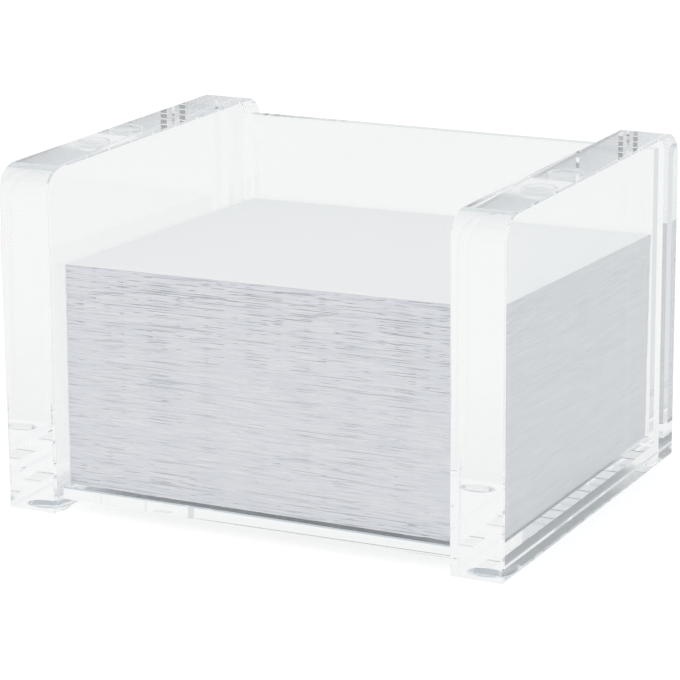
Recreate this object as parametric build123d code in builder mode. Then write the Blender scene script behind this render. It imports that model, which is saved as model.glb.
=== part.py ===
from build123d import *
import os
from math import atan, degrees, sin

# Clear acrylic memo sheet holder, open at the front and the top, with its stack of loose sheets.
# Millimetres. X runs across the holder, Y from its open front to its rear, Z up.
# The origin is on the table, under the centre of the holder's footprint.

# Memo sheets
sheet_width = 97.0
sheet_depth = 89.5
sheet_thickness = 0.1
packet_count = 10
leaves_per_packet = 10  # each leaf is five sheets that lie together
stack_front_height = 52.1
stack_rear_height = 49.25  # sheets lie looser at the open front, so the stack is a wedge
leaf_stagger = 0.24  # most that the edges of two leaves stand out of line

# Room for the sheets
side_clearance = 0.5
back_clearance = 0.3
front_reveal = 5.5  # front edges of the sheets behind those of the side panels

# Side panels, half-inch cast sheet on edge
side_thickness = 12.7
side_height = 79.5
corner_radius = 6.35
side_bevel = 0.4

# Base and back panels, thin sheet welded edge-on between the side panels
panel_thickness = 3.0
panel_bevel = 0.3
base_lift = 2.6  # underside of the base above the lower edges of the side panels
base_setback = 3.1  # front edge of the base behind those of the side panels
back_inset = 3.3  # rear face of the back panel in front of the rear edges of the side panels
back_drop = 3.9  # upper edge of the back panel below those of the side panels

# Round self-adhesive bumpers under the side panels
foot_diameter = 9.0
foot_height = 2.0
foot_rim = 0.7  # straight part of the wall, next to the adhesive face
foot_flat_diameter = 5.0  # part that stands on the table
foot_inset = 8.4  # foot centre from the nearer edge of its side panel

# Places that follow from these sizes
inner_width = sheet_width + 2 * side_clearance
side_depth = front_reveal + sheet_depth + back_clearance + panel_thickness + back_inset
front_edge = -side_depth / 2
rear_edge = side_depth / 2
side_foot = foot_height
side_top = side_foot + side_height
base_front = front_edge + base_setback
base_bottom = side_foot + base_lift
base_top = base_bottom + panel_thickness
back_rear = rear_edge - back_inset
back_front = back_rear - panel_thickness
back_top = side_top - back_drop
stack_rear = back_front - back_clearance
stack_front = stack_rear - sheet_depth
leaf_count = packet_count * leaves_per_packet
stack_slope = (stack_front_height - stack_rear_height) / sheet_depth

os.makedirs("parts", exist_ok=True)


def save(piece, name):
    piece.part.label = name
    export_step(piece.part, f"parts/{name}.step")


# Side panels: a slab with both top corners rounded and every outer edge bevelled and polished.
for hand, inner_face in (("left", -inner_width / 2 - side_thickness), ("right", inner_width / 2)):
    with BuildPart() as side_panel:
        with BuildSketch(Plane.YZ.offset(inner_face)) as side_outline:
            with Locations((0, side_foot)):
                Rectangle(side_depth, side_height, align=(Align.CENTER, Align.MIN))
            fillet(side_outline.vertices().group_by(Axis.Y)[-1], corner_radius)
        extrude(amount=side_thickness)
        broad_faces = side_panel.faces().filter_by(Axis.X)
        chamfer(broad_faces.edges(), side_bevel)
    save(side_panel, f"side_panel_{hand}")

# Base panel: its ends are welded to the side panels and its top carries the back panel, so the
# bevels are on both edges of its front and on the lower edge of its rear.
with BuildPart() as base_panel:
    with BuildSketch(Plane.XY.offset(base_bottom)):
        with Locations((0, base_front)):
            Rectangle(inner_width, back_rear - base_front, align=(Align.CENTER, Align.MIN))
    extrude(amount=panel_thickness)
    long_edges = base_panel.edges().filter_by(Axis.X).group_by(Axis.Y)
    lower_rear_edge = long_edges[-1].sort_by(Axis.Z)[0]
    chamfer([*long_edges[0], lower_rear_edge], panel_bevel)
save(base_panel, "base_panel")

# Back panel: stands on the base between the side panels, with its upper edge bevelled.
with BuildPart() as back_panel:
    with BuildSketch(Plane.XZ.offset(-back_rear)):
        with Locations((0, base_top)):
            Rectangle(inner_width, back_top - base_top, align=(Align.CENTER, Align.MIN))
    extrude(amount=panel_thickness)
    upper_edges = back_panel.edges().filter_by(Axis.X).group_by(Axis.Z)[-1]
    chamfer(upper_edges, panel_bevel)
save(back_panel, "back_panel")

# Bumper feet: a short straight wall that curves in to the flat that stands on the table.
foot_x = inner_width / 2 + side_thickness / 2
foot_y = side_depth / 2 - foot_inset
for name, x, y in (
    ("front_left", -foot_x, -foot_y),
    ("front_right", foot_x, -foot_y),
    ("rear_left", -foot_x, foot_y),
    ("rear_right", foot_x, foot_y),
):
    with BuildPart() as bumper_foot:
        with BuildSketch(Plane((x, y, 0), x_dir=(1, 0, 0), z_dir=(0, -1, 0))):
            with BuildLine():
                curve_height = foot_height - foot_rim
                curve_width = (foot_diameter - foot_flat_diameter) / 2
                curve = EllipticalCenterArc(
                    (foot_flat_diameter / 2, curve_height),
                    curve_width,
                    curve_height,
                    start_angle=270,
                    arc_size=90,
                )
                Polyline(curve @ 1, (foot_diameter / 2, foot_height), (0, foot_height), (0, 0), curve @ 0)
            make_face()
        revolve(axis=Axis((x, y, 0), (0, 0, 1)))
    save(bumper_foot, f"bumper_foot_{name}")


# Memo sheets: each leaf is a thin wedge, thicker at the front, and stands a little out of line.
def leaf_level(index, y):
    """Height of the lower face of a leaf, at a distance along the stack."""
    share = index / leaf_count
    rear_level = base_top + share * stack_rear_height
    return rear_level + share * stack_slope * (stack_rear - y)


def stagger(index, rate):
    """Uneven but repeatable shift of one leaf, from nothing to the whole of leaf_stagger."""
    return leaf_stagger * (0.5 + 0.3 * sin(rate * index) + 0.2 * sin(2.7 * rate * index + 1))


for packet in range(packet_count):
    with BuildPart() as memo_sheets:
        for index in range(packet * leaves_per_packet, (packet + 1) * leaves_per_packet):
            leaf_rear = stack_rear - stagger(index, 2.1)
            leaf_front = leaf_rear - sheet_depth
            leaf_left = -sheet_width / 2 - leaf_stagger / 2 + stagger(index, 1.7)
            with BuildSketch(Plane.YZ.offset(leaf_left)):
                with BuildLine():
                    Polyline(
                        (leaf_front, leaf_level(index, leaf_front)),
                        (leaf_rear, leaf_level(index, leaf_rear)),
                        (leaf_rear, leaf_level(index + 1, leaf_rear)),
                        (leaf_front, leaf_level(index + 1, leaf_front)),
                        close=True,
                    )
                make_face()
            extrude(amount=sheet_width)
    save(memo_sheets, f"memo_sheets_{packet + 1:02d}")

# Top sheet: the one that is taken next, flat on the sloping top of the stack.
stack_pitch = degrees(atan(stack_slope))
with BuildPart() as top_sheet:
    with BuildSketch(Plane((0, stack_rear, base_top + stack_rear_height)).rotated((-stack_pitch, 0, 0))):
        Rectangle(sheet_width, sheet_depth, align=(Align.CENTER, Align.MAX))
    extrude(amount=sheet_thickness)
save(top_sheet, "top_sheet")
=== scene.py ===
import math

import bpy
import numpy as np
from mathutils import Matrix, Vector


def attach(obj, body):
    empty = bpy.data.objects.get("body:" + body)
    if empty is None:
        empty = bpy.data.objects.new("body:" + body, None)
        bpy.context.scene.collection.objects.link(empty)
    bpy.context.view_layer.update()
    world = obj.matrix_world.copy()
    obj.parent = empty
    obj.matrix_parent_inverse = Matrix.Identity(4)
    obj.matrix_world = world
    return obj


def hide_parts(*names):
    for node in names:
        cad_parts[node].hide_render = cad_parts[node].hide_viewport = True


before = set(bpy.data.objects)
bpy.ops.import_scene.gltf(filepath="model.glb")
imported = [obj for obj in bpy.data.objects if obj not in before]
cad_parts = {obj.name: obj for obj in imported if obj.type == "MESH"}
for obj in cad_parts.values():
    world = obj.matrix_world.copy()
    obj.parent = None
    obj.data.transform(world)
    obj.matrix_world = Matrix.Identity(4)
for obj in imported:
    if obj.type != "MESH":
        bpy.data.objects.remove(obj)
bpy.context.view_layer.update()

# View
# The holder stands on a white table and is seen from its front right corner, from a little above.
# The lens is long, so its upright edges stay almost parallel.

CAMERA_PLACE = (0.298739, -0.599929, 0.218520)
CAMERA_TURN = 0.464740  # to the left of straight ahead, radians
CAMERA_DIP = 0.265809  # below level
CAMERA_ROLL = -0.008690
LENS_MM = 158.394
SENSOR_MM = 36.0
NEAREST_SEEN = 0.01

camera_data = bpy.data.cameras.new("view_camera")
camera_data.lens = LENS_MM
camera_data.sensor_width = SENSOR_MM
camera_data.clip_start = NEAREST_SEEN
camera = bpy.data.objects.new("view_camera", camera_data)
bpy.context.scene.collection.objects.link(camera)
camera.matrix_world = (
    Matrix.Translation(CAMERA_PLACE)
    @ Matrix.Rotation(CAMERA_TURN, 4, "Z")
    @ Matrix.Rotation(math.pi / 2 - CAMERA_DIP, 4, "X")
    @ Matrix.Rotation(CAMERA_ROLL, 4, "Z")
)
bpy.context.scene.camera = camera


# Side panels, base and back
# Cast acrylic sheet, cut to size, with edges that are bevelled and polished. The base and the back
# are welded edge-on between the side panels with solvent, which leaves no visible seam of air.

ACRYLIC_IOR = 1.49
ACRYLIC_TINT = "#FDFEFE"
LIGHT_THROUGH = "#FCFDFD"  # what shadow and bounced rays keep at each face that they pass
# Painted glow: rays still inside after the mirrorings below show this grey as emission.
PAINTED_CAUGHT_GLOW = "#DADFE1"  # light that is mirrored inside the sheet until it fades
CAUGHT_AFTER = 18.5  # mirrorings, after which light counts as caught

WELD_FACE_X = 0.049  # inner faces of the side panels
WELD_SKIN = 0.00002  # how far from a welded face a point still counts as on it
BASE_TOP = 0.0076
BASE_ENDS = ((-0.0477, 0.0475), (0.0046, BASE_TOP))  # (front and rear), (bottom and top)
BACK_ENDS = ((0.0445, 0.0475), (BASE_TOP, 0.0776))
BACK_FRONT = BACK_ENDS[0][0]
FOOT_TOP = 0.002  # the feet are stuck under the side panels here
FOOT_CENTRE = (0.05535, 0.0424)
FOOT_RADIUS = 0.0045

CEMENT_WIDTH = 0.0004  # bead of cement along the foot of the back
CEMENT_COLOUR = "#46525C"
CEMENT_COVER = 0.85

FACING_SIDEWAYS = 0.5  # faces whose normal has less than this across the holder are narrow edges
EDGE_STREAK = 0.0024  # spacing of the polishing streaks, drawn coarser than real so that they show
STREAK_DRAW = 0.06  # how much slower they change along an edge than across it
STREAK_HEIGHT = 0.00006


def linear(hex_colour):
    """Linear red, green, blue and alpha of an sRGB hex value."""
    parts = [int(hex_colour[i : i + 2], 16) / 255 for i in (1, 3, 5)]
    return [c / 12.92 if c <= 0.04045 else ((c + 0.055) / 1.055) ** 2.4 for c in parts] + [1.0]


def add_node(tree, kind, settings=None, **links):
    """Adds a node. settings holds its properties. links holds its inputs, by name or by _number,
    each as a value or as the socket that feeds it."""
    node = tree.nodes.new(kind)
    for name, value in (settings or {}).items():
        setattr(node, name, value)
    for name, value in links.items():
        socket = node.inputs[int(name[1:])] if name[0] == "_" else node.inputs[name.replace("_", " ")]
        if isinstance(value, bpy.types.NodeSocket):
            tree.links.new(value, socket)
        else:
            socket.default_value = value
    return node


def new_material(name):
    """An empty node material, and its tree."""
    material = bpy.data.materials.new(name)
    material.use_nodes = True
    material.node_tree.nodes.clear()
    return material, material.node_tree


def maths(tree, operation, *values):
    """Result of a Math node on values or sockets."""
    links = {f"_{i}": value for i, value in enumerate(values)}
    return add_node(tree, "ShaderNodeMath", {"operation": operation}, **links).outputs[0]


def between(tree, value, low, high):
    """1 where the value lies between low and high, 0 elsewhere."""
    above = maths(tree, "GREATER_THAN", value, low)
    below = maths(tree, "LESS_THAN", value, high)
    return maths(tree, "MULTIPLY", above, below)


def at_face(tree, value, face):
    """1 where the value is that of a face, within the weld's skin."""
    return between(tree, value, face - WELD_SKIN, face + WELD_SKIN)


def clear_solid(material, shader, weld):
    """Finishes a clear material round its shader. Shadow and bounced light pass straight through it,
    everything passes where it is welded, and a ray caught inside it ends in a soft grey painted glow."""
    tree = material.node_tree
    path = add_node(tree, "ShaderNodeLightPath")
    soft_rays = maths(tree, "MAXIMUM", path.outputs["Is Shadow Ray"], path.outputs["Is Diffuse Ray"])
    through = add_node(tree, "ShaderNodeBsdfTransparent", Color=linear(LIGHT_THROUGH))
    # Painted glow: a ray caught inside past CAUGHT_AFTER mirrorings shows grey emission, not dark.
    painted_glow = add_node(tree, "ShaderNodeEmission", Color=linear(PAINTED_CAUGHT_GLOW), Strength=1.0)
    deep = maths(tree, "GREATER_THAN", path.outputs["Ray Depth"], CAUGHT_AFTER)
    clear = add_node(tree, "ShaderNodeMixShader", _0=deep, _1=shader, _2=painted_glow.outputs[0])
    lit = add_node(tree, "ShaderNodeMixShader", _0=soft_rays, _1=clear.outputs[0], _2=through.outputs[0])
    joined = add_node(tree, "ShaderNodeBsdfTransparent")
    whole = add_node(tree, "ShaderNodeMixShader", _0=weld, _1=lit.outputs[0], _2=joined.outputs[0])
    add_node(tree, "ShaderNodeOutputMaterial", Surface=whole.outputs[0])
    material.cycles.emission_sampling = "NONE"


def acrylic_welds(tree, off_middle, y, z):
    """1 on the faces of the panels that are welded to each other or stuck to a foot."""
    ends = []
    for (front, rear), (bottom, top) in (BASE_ENDS, BACK_ENDS):
        ends.append(maths(tree, "MULTIPLY", between(tree, y, front, rear), between(tree, z, bottom, top)))
    at_ends = maths(tree, "MAXIMUM", *ends)
    on_sides = maths(tree, "MULTIPLY", at_face(tree, off_middle, WELD_FACE_X), at_ends)

    between_sides = maths(tree, "LESS_THAN", off_middle, WELD_FACE_X)
    under_back = maths(tree, "MULTIPLY", between(tree, y, *BACK_ENDS[0]), between_sides)
    on_base = maths(tree, "MULTIPLY", at_face(tree, z, BASE_TOP), under_back)

    from_foot = []
    for distance, centre in zip((off_middle, maths(tree, "ABSOLUTE", y)), FOOT_CENTRE):
        from_foot.append(maths(tree, "POWER", maths(tree, "SUBTRACT", distance, centre), 2.0))
    over_foot = maths(tree, "LESS_THAN", maths(tree, "ADD", *from_foot), FOOT_RADIUS**2)
    on_feet = maths(tree, "MULTIPLY", at_face(tree, z, FOOT_TOP), over_foot)
    return maths(tree, "MAXIMUM", maths(tree, "MAXIMUM", on_sides, on_base), on_feet)


def edge_polish(tree, place, off_middle):
    """Normal with faint streaks along the edges of the side panels, and none on other faces."""
    facing = add_node(tree, "ShaderNodeSeparateXYZ", Vector=place.outputs["Normal"])
    narrow = maths(tree, "LESS_THAN", maths(tree, "ABSOLUTE", facing.outputs[0]), FACING_SIDEWAYS)
    in_slab = maths(tree, "GREATER_THAN", off_middle, WELD_FACE_X + WELD_SKIN)
    on_edge = maths(tree, "MULTIPLY", narrow, in_slab)
    spot = add_node(
        tree,
        "ShaderNodeVectorMath",
        {"operation": "MULTIPLY"},
        _0=place.outputs["Object"],
        _1=(1 / EDGE_STREAK, STREAK_DRAW / EDGE_STREAK, STREAK_DRAW / EDGE_STREAK),
    )
    streaks = add_node(
        tree, "ShaderNodeTexNoise", Vector=spot.outputs[0], Scale=1.0, Detail=2.0, Roughness=0.5
    )
    height = maths(tree, "MULTIPLY", streaks.outputs[0], on_edge)
    polish = add_node(tree, "ShaderNodeBump", Height=height, Strength=0.12, Distance=STREAK_HEIGHT)
    return polish.outputs[0]


def polished_acrylic():
    """Clear cast acrylic: glassy broad faces, and edges whose polish leaves faint streaks along them.
    A fine dark bead of cement shows along the foot of the back."""
    material, tree = new_material("polished_cast_acrylic")
    place = add_node(tree, "ShaderNodeTexCoord")
    xyz = add_node(tree, "ShaderNodeSeparateXYZ", Vector=place.outputs["Object"])
    x, y, z = xyz.outputs
    off_middle = maths(tree, "ABSOLUTE", x)
    glassy = add_node(
        tree,
        "ShaderNodeBsdfPrincipled",
        Normal=edge_polish(tree, place, off_middle),
        Base_Color=linear(ACRYLIC_TINT),
        Roughness=0.0,
        IOR=ACRYLIC_IOR,
        Transmission_Weight=1.0,
    )
    before_back = between(tree, y, BACK_FRONT - CEMENT_WIDTH, BACK_FRONT)
    between_sides = maths(tree, "LESS_THAN", off_middle, WELD_FACE_X - WELD_SKIN)
    bead = maths(tree, "MULTIPLY", before_back, between_sides)
    bead = maths(tree, "MULTIPLY", bead, at_face(tree, z, BASE_TOP))
    covered = maths(tree, "MULTIPLY", bead, CEMENT_COVER)
    cement = add_node(tree, "ShaderNodeBsdfDiffuse", Color=linear(CEMENT_COLOUR))
    beaded = add_node(tree, "ShaderNodeMixShader", _0=covered, _1=glassy.outputs[0], _2=cement.outputs[0])
    clear_solid(material, beaded.outputs[0], acrylic_welds(tree, off_middle, y, z))
    return material


acrylic = polished_acrylic()
for name in ("side_panel_left", "side_panel_right", "base_panel", "back_panel"):
    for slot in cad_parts[name].material_slots:
        slot.material = acrylic


# Bumper feet
# Clear polyurethane bumpers, moulded as low domes and stuck under the corners of the side panels.

BUMPER_IOR = 1.5
BUMPER_TINT = "#F2F5F4"
BUMPER_ROUGHNESS = 0.06


def clear_bumper():
    """Clear soft polyurethane: a slightly cloudy, slightly tacky gloss."""
    material, tree = new_material("moulded_clear_polyurethane")
    place = add_node(tree, "ShaderNodeTexCoord")
    xyz = add_node(tree, "ShaderNodeSeparateXYZ", Vector=place.outputs["Object"])
    shader = add_node(
        tree,
        "ShaderNodeBsdfPrincipled",
        Base_Color=linear(BUMPER_TINT),
        Roughness=BUMPER_ROUGHNESS,
        IOR=BUMPER_IOR,
        Transmission_Weight=1.0,
    )
    clear_solid(material, shader.outputs[0], at_face(tree, xyz.outputs[2], FOOT_TOP))
    return material


bumper = clear_bumper()
for name in ("front_left", "front_right", "rear_left", "rear_right"):
    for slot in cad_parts[f"bumper_foot_{name}"].material_slots:
        slot.material = bumper


# Memo sheets
# Ten packets of fifty loose sheets of white paper, cut square and laid in by hand. Their edges stand
# a little out of line, and painted shade in their colour differs from sheet to sheet, so the sides
# of the stack show every sheet as a fine line.

SHEET_WIDTH = 0.0968
SHEET_DEPTH = 0.0893
SHEETS_PER_PACKET = 50
PACKETS = 10
SHEETS = SHEETS_PER_PACKET * PACKETS
STACK_REAR = 0.0442
STACK_FRONT_HEIGHT = 0.0521
STACK_REAR_HEIGHT = 0.04925
STACK_RISE = 0.0010  # how much higher the right end of the top is than the left end
STACK_LEAN = 0.0006  # how far the top of the stack has slid to the right
BASE_GAP = 0.00005  # between the lowest sheet and the base
EDGE_STEP = 0.0008  # spacing of the points along a sheet's edge

# Gaps are slits where neighbouring sheets stand apart. Each kind has its length along the edge in
# millimetres, and the values of a random field at which a gap opens and at which it is whole.
SHORT_GAPS = (3.6, 0.88, 1.28)
LONG_GAPS = (12.0, 0.76, 1.46)
GAP_DEPTH = 0.0005  # how far a sheet's edge falls back in a gap
GAPS_AT_SIDES = 0.3  # how open gaps are away from the front
MORE_GAPS_ABOVE = (0.14, 0.5, 0.85)  # added to the field, more and more between these shares of the height
MORE_GAPS_BELOW = (0.07, 0.12, 0.04)
GAP_PATCHES = (0.05, 60, 25)  # added to the field, over how many sheets and millimetres

# How far sheets lie out of line, at random for each one, and as a drift over a number of sheets.
SIDE_SLIP = 0.000018
SIDE_DRIFT = (0.00008, 35)
REAR_SLIP = 0.00002
REAR_DRIFT = (0.00004, 25)
SKEW = 0.0002  # radians
EDGE_WANDER = (0.00003, 1.0, 5)  # height, and over how many sheets and millimetres
RIPPLES = ((0.00006, 40, 30), (0.00001, 3, 14))

PAPER_FACE = ("#EFF1F3", "#F4F6F7")
# Cut edges: painted shade between the sheets, darker and bluer than the faces, varied at random.
PAPER_EDGE_AND_SHADE = ("#C3C8D3", "#FFFFFF")
# Painted shade in the gaps: the edge colour is tinted towards this, by up to the share below.
GAP_PAINTED_SHADE = "#7482A2"
GAP_SHADE_COVER = 0.55
FACING_UP = 0.7  # faces whose normal has more than this up or down show the broad side of a sheet
EDGE_TONES = (110.0, 70.0, 0.9)  # per metre along the front (9 mm), along the sides (14 mm), per sheet
FIBRES_PER_METRE = 1800.0  # about 0.6 mm apart, drawn coarser than real so that they show
FIBRE_HEIGHT = 0.00002
COLOUR_MIX = {"data_type": "RGBA"}  # its colours are inputs 6 and 7, and its result is output 2

sheet_random = np.random.default_rng(41)


def stack_height(x, y, share):
    """Height above the table of the level at that share of the stack."""
    depth_share = (STACK_REAR - y) / SHEET_DEPTH
    full = STACK_REAR_HEIGHT + (STACK_FRONT_HEIGHT - STACK_REAR_HEIGHT) * depth_share
    return BASE_TOP + share * (full + STACK_RISE * x / SHEET_WIDTH)


def sheet_outline():
    """Points round a sheet, anticlockwise from its front left corner, from -1 to 1 each way."""
    corners = np.array(((-1, -1), (1, -1), (1, 1), (-1, 1), (-1, -1)), float)
    sides = []
    for start, end, size in zip(corners, corners[1:], (SHEET_WIDTH, SHEET_DEPTH) * 2):
        steps = round(size / EDGE_STEP)
        sides.append(start + (end - start) * (np.arange(steps) / steps)[:, None])
    return np.concatenate(sides)


outline = sheet_outline()
ring = len(outline)
per_mm = 0.001 / EDGE_STEP  # points along an edge
once_round = ring / per_mm  # the whole way round a sheet, in millimetres


def uneven(rows, over_sheets, over_mm):
    """Smooth random field from -1 to 1 over the sheets and round their edges, closed along the edges."""
    cells_down = int(rows / over_sheets) + 2
    cells_round = max(3, round(ring / (over_mm * per_mm)))
    knots = sheet_random.uniform(-1, 1, (cells_down, cells_round))
    down = np.arange(rows) / over_sheets
    along = np.arange(ring) * cells_round / ring
    above, left = down.astype(int), along.astype(int)
    down_part = (down - above)[:, None]
    round_part = (along - left)[None, :]
    down_part = down_part * down_part * (3 - 2 * down_part)
    round_part = round_part * round_part * (3 - 2 * round_part)
    left = left % cells_round
    right = (left + 1) % cells_round
    here = knots[above][:, left] * (1 - round_part) + knots[above][:, right] * round_part
    next_down = knots[above + 1][:, left] * (1 - round_part) + knots[above + 1][:, right] * round_part
    return here * (1 - down_part) + next_down * down_part


def fade(value, nothing, whole):
    """0 at the value for nothing, 1 at the one for the whole, and even between them."""
    return np.clip((value - nothing) / (whole - nothing), 0, 1)


share_up = (np.arange(SHEETS) / SHEETS)[:, None]

# Gaps: short slits, most of them in the upper part and at the front. Their depth and painted shade
# in the edge colour make them dark.
crowding = 0
for amount, start, end in (MORE_GAPS_ABOVE, MORE_GAPS_BELOW):
    crowding = crowding + amount * fade(share_up, start, end)
crowding = crowding + GAP_PATCHES[0] * uneven(SHEETS, *GAP_PATCHES[1:])
kinds = []
for length, opens, whole in (SHORT_GAPS, LONG_GAPS):
    kinds.append(fade(uneven(SHEETS, 1.0, length) + crowding, opens, whole))
at_front = np.isclose(outline[:, 1], -1)
gaps = np.maximum(*kinds) * np.where(at_front, 1.0, GAPS_AT_SIDES)
fall_back = GAP_DEPTH * gaps + EDGE_WANDER[0] * uneven(SHEETS, *EDGE_WANDER[1:])

# Each sheet lies a little askew, and the whole stack leans.
side_slip = sheet_random.normal(0, SIDE_SLIP, (SHEETS, 1))
side_drift = SIDE_DRIFT[0] * uneven(SHEETS, SIDE_DRIFT[1], once_round)[:, :1]
shift_x = side_slip + side_drift + STACK_LEAN * (share_up - 0.5)
rear_slip = np.abs(sheet_random.normal(0, REAR_SLIP, (SHEETS, 1)))
shift_y = rear_slip + REAR_DRIFT[0] * (1 + uneven(SHEETS, REAR_DRIFT[1], once_round)[:, :1])
turn = sheet_random.normal(0, SKEW, (SHEETS, 1))
outward_x, outward_y = outline.T[:, None, :]
half_x = outward_x * SHEET_WIDTH / 2
half_y = outward_y * SHEET_DEPTH / 2
sheet_x = half_x + shift_x - turn * half_y - outward_x * fall_back
sheet_y = half_y + turn * half_x + STACK_REAR - SHEET_DEPTH / 2 - shift_y - outward_y * fall_back
ripple = sum(height * uneven(SHEETS + 1, *run) for height, *run in RIPPLES)


def packet_mesh(packet):
    """One packet: a wall of sheet edges all round, closed by the faces of its outer sheets."""
    points = []
    levels = []
    openness = []
    first = packet * SHEETS_PER_PACKET
    for sheet in range(first, first + SHEETS_PER_PACKET):
        for level in (sheet, sheet + 1):
            x, y = sheet_x[sheet], sheet_y[sheet]
            wave = ripple[level] if 0 < level < SHEETS else 0
            z = stack_height(x, y, level / SHEETS) + wave + (BASE_GAP if level == 0 else 0)
            points.append(np.stack((x, y, z), axis=1))
            levels.append(np.full(ring, float(sheet)))
            openness.append(gaps[sheet])
    rows = len(points)
    points = np.concatenate(points)
    here = np.arange(ring)
    beside = (here + 1) % ring
    faces = []
    for row in range(rows - 1):
        low, high = row * ring, (row + 1) * ring
        faces.extend(np.stack((low + here, low + beside, high + beside, high + here), axis=1).tolist())
    faces.append(here[::-1].tolist())
    faces.append((here + (rows - 1) * ring).tolist())
    mesh = bpy.data.meshes.new(f"packet_{packet + 1:02d}")
    mesh.from_pydata(points.tolist(), [], faces)
    for name, values in (("sheet_level", levels), ("gap", openness)):
        mesh.attributes.new(name, "FLOAT", "POINT").data.foreach_set("value", np.concatenate(values))
    mesh.update()
    return mesh


def edge_colour_and_shade(tree, place):
    """Colour of the cut edges: painted shade makes it darker and bluer than the broad faces. Its tone
    differs along them and from sheet to sheet, and gaps get darker painted shade.
    """
    level = add_node(tree, "ShaderNodeAttribute", {"attribute_name": "sheet_level"})
    xyz = add_node(tree, "ShaderNodeSeparateXYZ", Vector=place.outputs["Object"])
    spot = add_node(
        tree,
        "ShaderNodeCombineXYZ",
        X=maths(tree, "MULTIPLY", xyz.outputs[0], EDGE_TONES[0]),
        Y=maths(tree, "MULTIPLY", xyz.outputs[1], EDGE_TONES[1]),
        Z=maths(tree, "MULTIPLY", level.outputs["Fac"], EDGE_TONES[2]),
    )
    tones = add_node(
        tree, "ShaderNodeTexNoise", Vector=spot.outputs[0], Scale=1.0, Detail=3.0, Roughness=0.6
    )
    # Painted shade: edge tones run down to a darker blue-grey than the broad faces.
    dark, light = (linear(colour) for colour in PAPER_EDGE_AND_SHADE)
    whole_edge = add_node(tree, "ShaderNodeMix", COLOUR_MIX, Factor=tones.outputs[0], _6=dark, _7=light)
    # Painted shade: where a gap opens, the edge colour is tinted towards a dark blue-grey.
    gap = add_node(tree, "ShaderNodeAttribute", {"attribute_name": "gap"})
    edge = add_node(
        tree,
        "ShaderNodeMix",
        COLOUR_MIX,
        Factor=maths(tree, "MULTIPLY", gap.outputs["Fac"], GAP_SHADE_COVER),
        _6=whole_edge.outputs[2],
        _7=linear(GAP_PAINTED_SHADE),
    )
    return edge.outputs[2]


def memo_paper():
    """Uncoated white paper: matt and faintly fibrous, with painted blue-grey shade on its cut edges."""
    material, tree = new_material("uncoated_white_paper")
    place = add_node(tree, "ShaderNodeTexCoord")
    fibre = add_node(
        tree, "ShaderNodeTexNoise", Vector=place.outputs["Object"], Scale=FIBRES_PER_METRE, Detail=4.0
    )
    dark, light = (linear(colour) for colour in PAPER_FACE)
    face = add_node(tree, "ShaderNodeMix", COLOUR_MIX, Factor=fibre.outputs[0], _6=dark, _7=light)
    normal = add_node(tree, "ShaderNodeSeparateXYZ", Vector=place.outputs["Normal"])
    broad = maths(tree, "GREATER_THAN", maths(tree, "ABSOLUTE", normal.outputs[2]), FACING_UP)
    colour = add_node(
        tree, "ShaderNodeMix", COLOUR_MIX, Factor=broad, _6=edge_colour_and_shade(tree, place), _7=face.outputs[2]
    )
    bump = add_node(tree, "ShaderNodeBump", Height=fibre.outputs[0], Strength=0.1, Distance=FIBRE_HEIGHT)
    shader = add_node(
        tree,
        "ShaderNodeBsdfPrincipled",
        Base_Color=colour.outputs[2],
        Normal=bump.outputs[0],
        Roughness=0.9,
        IOR=1.5,
        Specular_IOR_Level=0.2,
    )
    add_node(tree, "ShaderNodeOutputMaterial", Surface=shader.outputs[0])
    return material


paper = memo_paper()
for packet in range(PACKETS):
    piece = bpy.data.objects.new(f"paper_packet_{packet + 1:02d}", packet_mesh(packet))
    piece.data.materials.append(paper)
    bpy.context.scene.collection.objects.link(piece)
    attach(piece, "sheet_stack")
    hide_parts(f"memo_sheets_{packet + 1:02d}")


# Top sheet
# The next sheet to be taken: the same white paper, cut to the same size. It lies loose on the
# sloping top of the stack.

TOP_SHEET_FACES = (0.00003, 0.0001)  # heights of its underside and its top above the stack
TOP_SHEET_SETBACK = 0.0001  # in front of the rear of the stack
TOP_SHEET_GRID = 40


def top_sheet_mesh():
    """A thin closed sheet that follows the top of the stack."""
    points = []
    for lift in TOP_SHEET_FACES:
        for row in range(TOP_SHEET_GRID + 1):
            for column in range(TOP_SHEET_GRID + 1):
                x = (column / TOP_SHEET_GRID - 0.5) * SHEET_WIDTH + STACK_LEAN / 2
                y = STACK_REAR - (row / TOP_SHEET_GRID) * SHEET_DEPTH - TOP_SHEET_SETBACK
                points.append((x, y, stack_height(x, y, 1.0) + lift))
    last = TOP_SHEET_GRID
    side = last + 1
    layer = side * side
    faces = []
    for row in range(last):
        for column in range(last):
            a = row * side + column
            faces.append((a, a + 1, a + side + 1, a + side))
            faces.append((a + layer, a + layer + side, a + layer + side + 1, a + layer + 1))
    for k in range(last):
        for a, b in (
            (k + 1, k),
            (last * side + k, last * side + k + 1),
            (k * side, (k + 1) * side),
            ((k + 1) * side + last, k * side + last),
        ):
            faces.append((a, b, b + layer, a + layer))
    mesh = bpy.data.meshes.new("top_sheet_paper")
    mesh.from_pydata(points, [], faces)
    mesh.validate()
    mesh.update()
    return mesh


top_sheet_piece = bpy.data.objects.new("top_sheet_paper", top_sheet_mesh())
top_sheet_piece.data.materials.append(paper)
bpy.context.scene.collection.objects.link(top_sheet_piece)
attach(top_sheet_piece, "loose_sheet")
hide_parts("top_sheet")


# Table and light
# A white laminate table in a pale room, which is brighter at the front than at the rear. A wide soft
# lamp hangs over the holder, and a smaller one stands at its front left.

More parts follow.
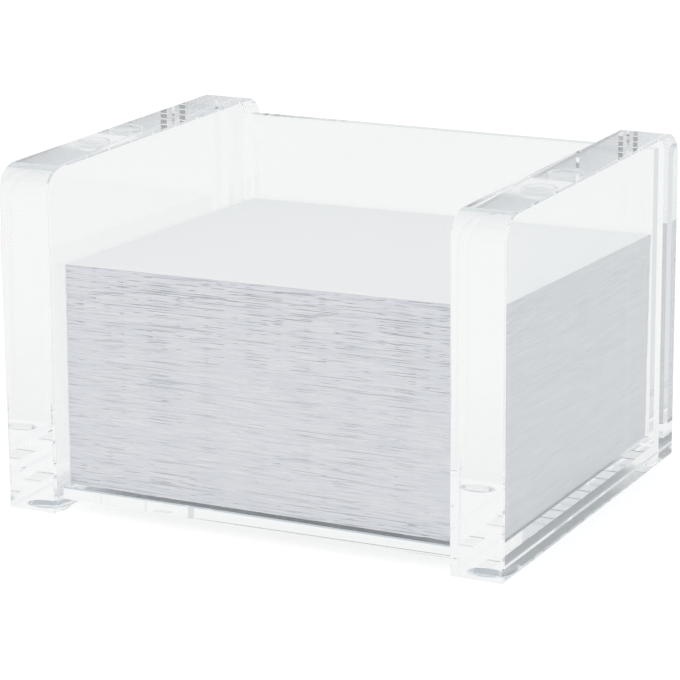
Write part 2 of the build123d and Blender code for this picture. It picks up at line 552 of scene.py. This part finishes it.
FLOOR_HALF = 3.0
FLOOR_DROP = 0.00002  # keeps the table clear of the flats of the feet
TABLE_GRAIN = ("#F0F0F0", "#F6F6F6")
GRAINS_PER_METRE = 900.0  # about 1 mm apart, coarser than real
TABLE_GLOW = 0.75  # part of the table's white that doesn't come from the lamps, as the camera sees it
TABLE_WHITE = 1.12
TABLE_MIRRORED = 0.65  # the same part as the acrylic mirrors it, clear of the holder
MIRRORED_WHITE = 1.0
# Painted shade: under the holder the table takes this darker colour and loses its mirrored glow.
TABLE_PAINTED_SHADE = "#DEE2E8"  # the table under the holder, as the acrylic mirrors it
COVERED_HALF = (0.068, 0.042)  # half width and half depth of that part
COVER_FADES = (0.9, 1.15)  # where it starts to get brighter and where it stops, as shares of those

LIGHTS = (  # name, place, size in metres, watts
    ("ceiling_light", (0.3, 0.0, 1.6), 1.4, 7.0),
    ("front_light", (-0.4, -1.0, 1.0), 0.9, 2.0),
)
ROOM_LIGHT = (0.89, 0.43)  # from the front and from the rear
ROOM_TONES = (  # the room as the acrylic mirrors it, from level to straight overhead
    (0.0, "#FBFBFB"),
    (0.3, "#F8F8F8"),
    (0.52, "#F0F3F4"),
    (0.72, "#C6CED4"),
    (1.0, "#D2D6DA"),
)
FRONT_SHADE = "#8E9EAC"  # the room's front is toned towards this,
FRONT_SHADE_FADES = (-0.2, 0.9)  # more and more between these shares of straight to the front
FRONT_SHADE_MOST = 0.3
SMOOTH_RANGE = {"interpolation_type": "SMOOTHSTEP"}


def seen_rays(tree):
    """1 for what is seen straight, mirrored or through the acrylic, and 1 for what is seen straight."""
    path = add_node(tree, "ShaderNodeLightPath")
    straight = path.outputs["Is Camera Ray"]
    by_acrylic = maths(tree, "MAXIMUM", path.outputs["Is Glossy Ray"], path.outputs["Is Transmission Ray"])
    return maths(tree, "MAXIMUM", straight, by_acrylic), straight


def white_table():
    """Matt white table top: pure white to the eye, with a faint shadow and painted shade under the holder.
    """
    material, tree = new_material("matt_white_laminate")
    place = add_node(tree, "ShaderNodeTexCoord")
    grain = add_node(
        tree, "ShaderNodeTexNoise", Vector=place.outputs["Object"], Scale=GRAINS_PER_METRE, Detail=3.0
    )
    dark, light = (linear(colour) for colour in TABLE_GRAIN)
    tone = add_node(tree, "ShaderNodeMix", COLOUR_MIX, Factor=grain.outputs[0], _6=dark, _7=light)
    matt = add_node(tree, "ShaderNodeBsdfDiffuse", Color=tone.outputs[2])

    xyz = add_node(tree, "ShaderNodeSeparateXYZ", Vector=place.outputs["Object"])
    off_middle = []
    for distance, half in zip(xyz.outputs, COVERED_HALF):
        off_middle.append(maths(tree, "DIVIDE", maths(tree, "ABSOLUTE", distance), half))
    uncovered = add_node(
        tree,
        "ShaderNodeMapRange",
        SMOOTH_RANGE,
        _0=maths(tree, "MAXIMUM", *off_middle),
        _1=COVER_FADES[0],
        _2=COVER_FADES[1],
        _3=0.0,
        _4=1.0,
    ).outputs[0]

    seen, straight = seen_rays(tree)
    # Painted shade under the holder, fixed to its place on the table, seen straight and through acrylic.
    shaded = add_node(tree, "ShaderNodeBsdfDiffuse", Color=linear(TABLE_PAINTED_SHADE))
    covered = maths(tree, "MULTIPLY", seen, maths(tree, "SUBTRACT", 1.0, uncovered))
    below = add_node(tree, "ShaderNodeMixShader", _0=covered, _1=matt.outputs[0], _2=shaded.outputs[0])
    bright = add_node(tree, "ShaderNodeEmission", Color=(1, 1, 1, 1), Strength=MIRRORED_WHITE)
    mirrored = maths(tree, "MULTIPLY", maths(tree, "MULTIPLY", seen, uncovered), TABLE_MIRRORED)
    by_acrylic = add_node(
        tree, "ShaderNodeMixShader", _0=mirrored, _1=below.outputs[0], _2=bright.outputs[0]
    )
    white = add_node(tree, "ShaderNodeEmission", Color=(1, 1, 1, 1), Strength=TABLE_WHITE)
    direct = maths(tree, "MULTIPLY", straight, TABLE_GLOW)
    whole = add_node(tree, "ShaderNodeMixShader", _0=direct, _1=by_acrylic.outputs[0], _2=white.outputs[0])
    add_node(tree, "ShaderNodeOutputMaterial", Surface=whole.outputs[0])
    return material


floor_corners = []
for x, y in ((-1, -1), (1, -1), (1, 1), (-1, 1)):
    floor_corners.append((x * FLOOR_HALF, y * FLOOR_HALF, -FLOOR_DROP))
floor_mesh = bpy.data.meshes.new("table_top")
floor_mesh.from_pydata(floor_corners, [], [(0, 1, 2, 3)])
floor = bpy.data.objects.new("table_top", floor_mesh)
floor_mesh.materials.append(white_table())
bpy.context.scene.collection.objects.link(floor)

for name, place, size, watts in LIGHTS:
    light_data = bpy.data.lights.new(name, "AREA")
    light_data.shape = "SQUARE"
    light_data.size = size
    light_data.energy = watts
    light = bpy.data.objects.new(name, light_data)
    light.location = place
    light.rotation_euler = (-Vector(place)).to_track_quat("-Z", "Y").to_euler()
    light.visible_glossy = False
    light.visible_transmission = False
    bpy.context.scene.collection.objects.link(light)


def pale_room():
    """World: even light for the paper, white to the camera, and what the acrylic mirrors."""
    world = bpy.data.worlds.new("pale_room")
    world.use_nodes = True
    tree = world.node_tree
    tree.nodes.clear()
    place = add_node(tree, "ShaderNodeTexCoord")
    xyz = add_node(tree, "ShaderNodeSeparateXYZ", Vector=place.outputs["Generated"])
    to_rear, upward = xyz.outputs[1], xyz.outputs[2]
    front, rear = ROOM_LIGHT
    level = add_node(tree, "ShaderNodeMapRange", _0=to_rear, _1=-1.0, _2=1.0, _3=front, _4=rear)
    even = add_node(tree, "ShaderNodeBackground", Color=(1, 1, 1, 1), Strength=level.outputs[0])

    tones = add_node(tree, "ShaderNodeValToRGB", Fac=upward)
    ramp = tones.color_ramp.elements
    while len(ramp) < len(ROOM_TONES):
        ramp.new(0.5)
    for element, (spot, colour) in zip(ramp, ROOM_TONES):
        element.position = spot
        element.color = linear(colour)
    to_front = maths(tree, "MULTIPLY", to_rear, -1.0)
    start, end = FRONT_SHADE_FADES
    shade = add_node(
        tree, "ShaderNodeMapRange", SMOOTH_RANGE, _0=to_front, _1=start, _2=end, _3=0.0, _4=FRONT_SHADE_MOST
    )
    shaded = add_node(
        tree,
        "ShaderNodeMix",
        COLOUR_MIX,
        Factor=shade.outputs[0],
        _6=tones.outputs[0],
        _7=linear(FRONT_SHADE),
    )
    mirrored = add_node(tree, "ShaderNodeBackground", Color=shaded.outputs[2], Strength=1.0)

    seen, straight = seen_rays(tree)
    white = add_node(tree, "ShaderNodeBackground", Color=(1, 1, 1, 1), Strength=1.0)
    around = add_node(tree, "ShaderNodeMixShader", _0=seen, _1=even.outputs[0], _2=mirrored.outputs[0])
    whole = add_node(tree, "ShaderNodeMixShader", _0=straight, _1=around.outputs[0], _2=white.outputs[0])
    add_node(tree, "ShaderNodeOutputWorld", Surface=whole.outputs[0])
    return world


bpy.context.scene.world = pale_room()

# Clear acrylic mirrors light inside itself many times, so rays are followed further than usual.
cycles = bpy.context.scene.cycles
cycles.max_bounces = 40
cycles.glossy_bounces = 28
cycles.transmission_bounces = 40
cycles.transparent_max_bounces = 40
cycles.diffuse_bounces = 3
bpy.context.scene.view_settings.view_transform = "Standard"
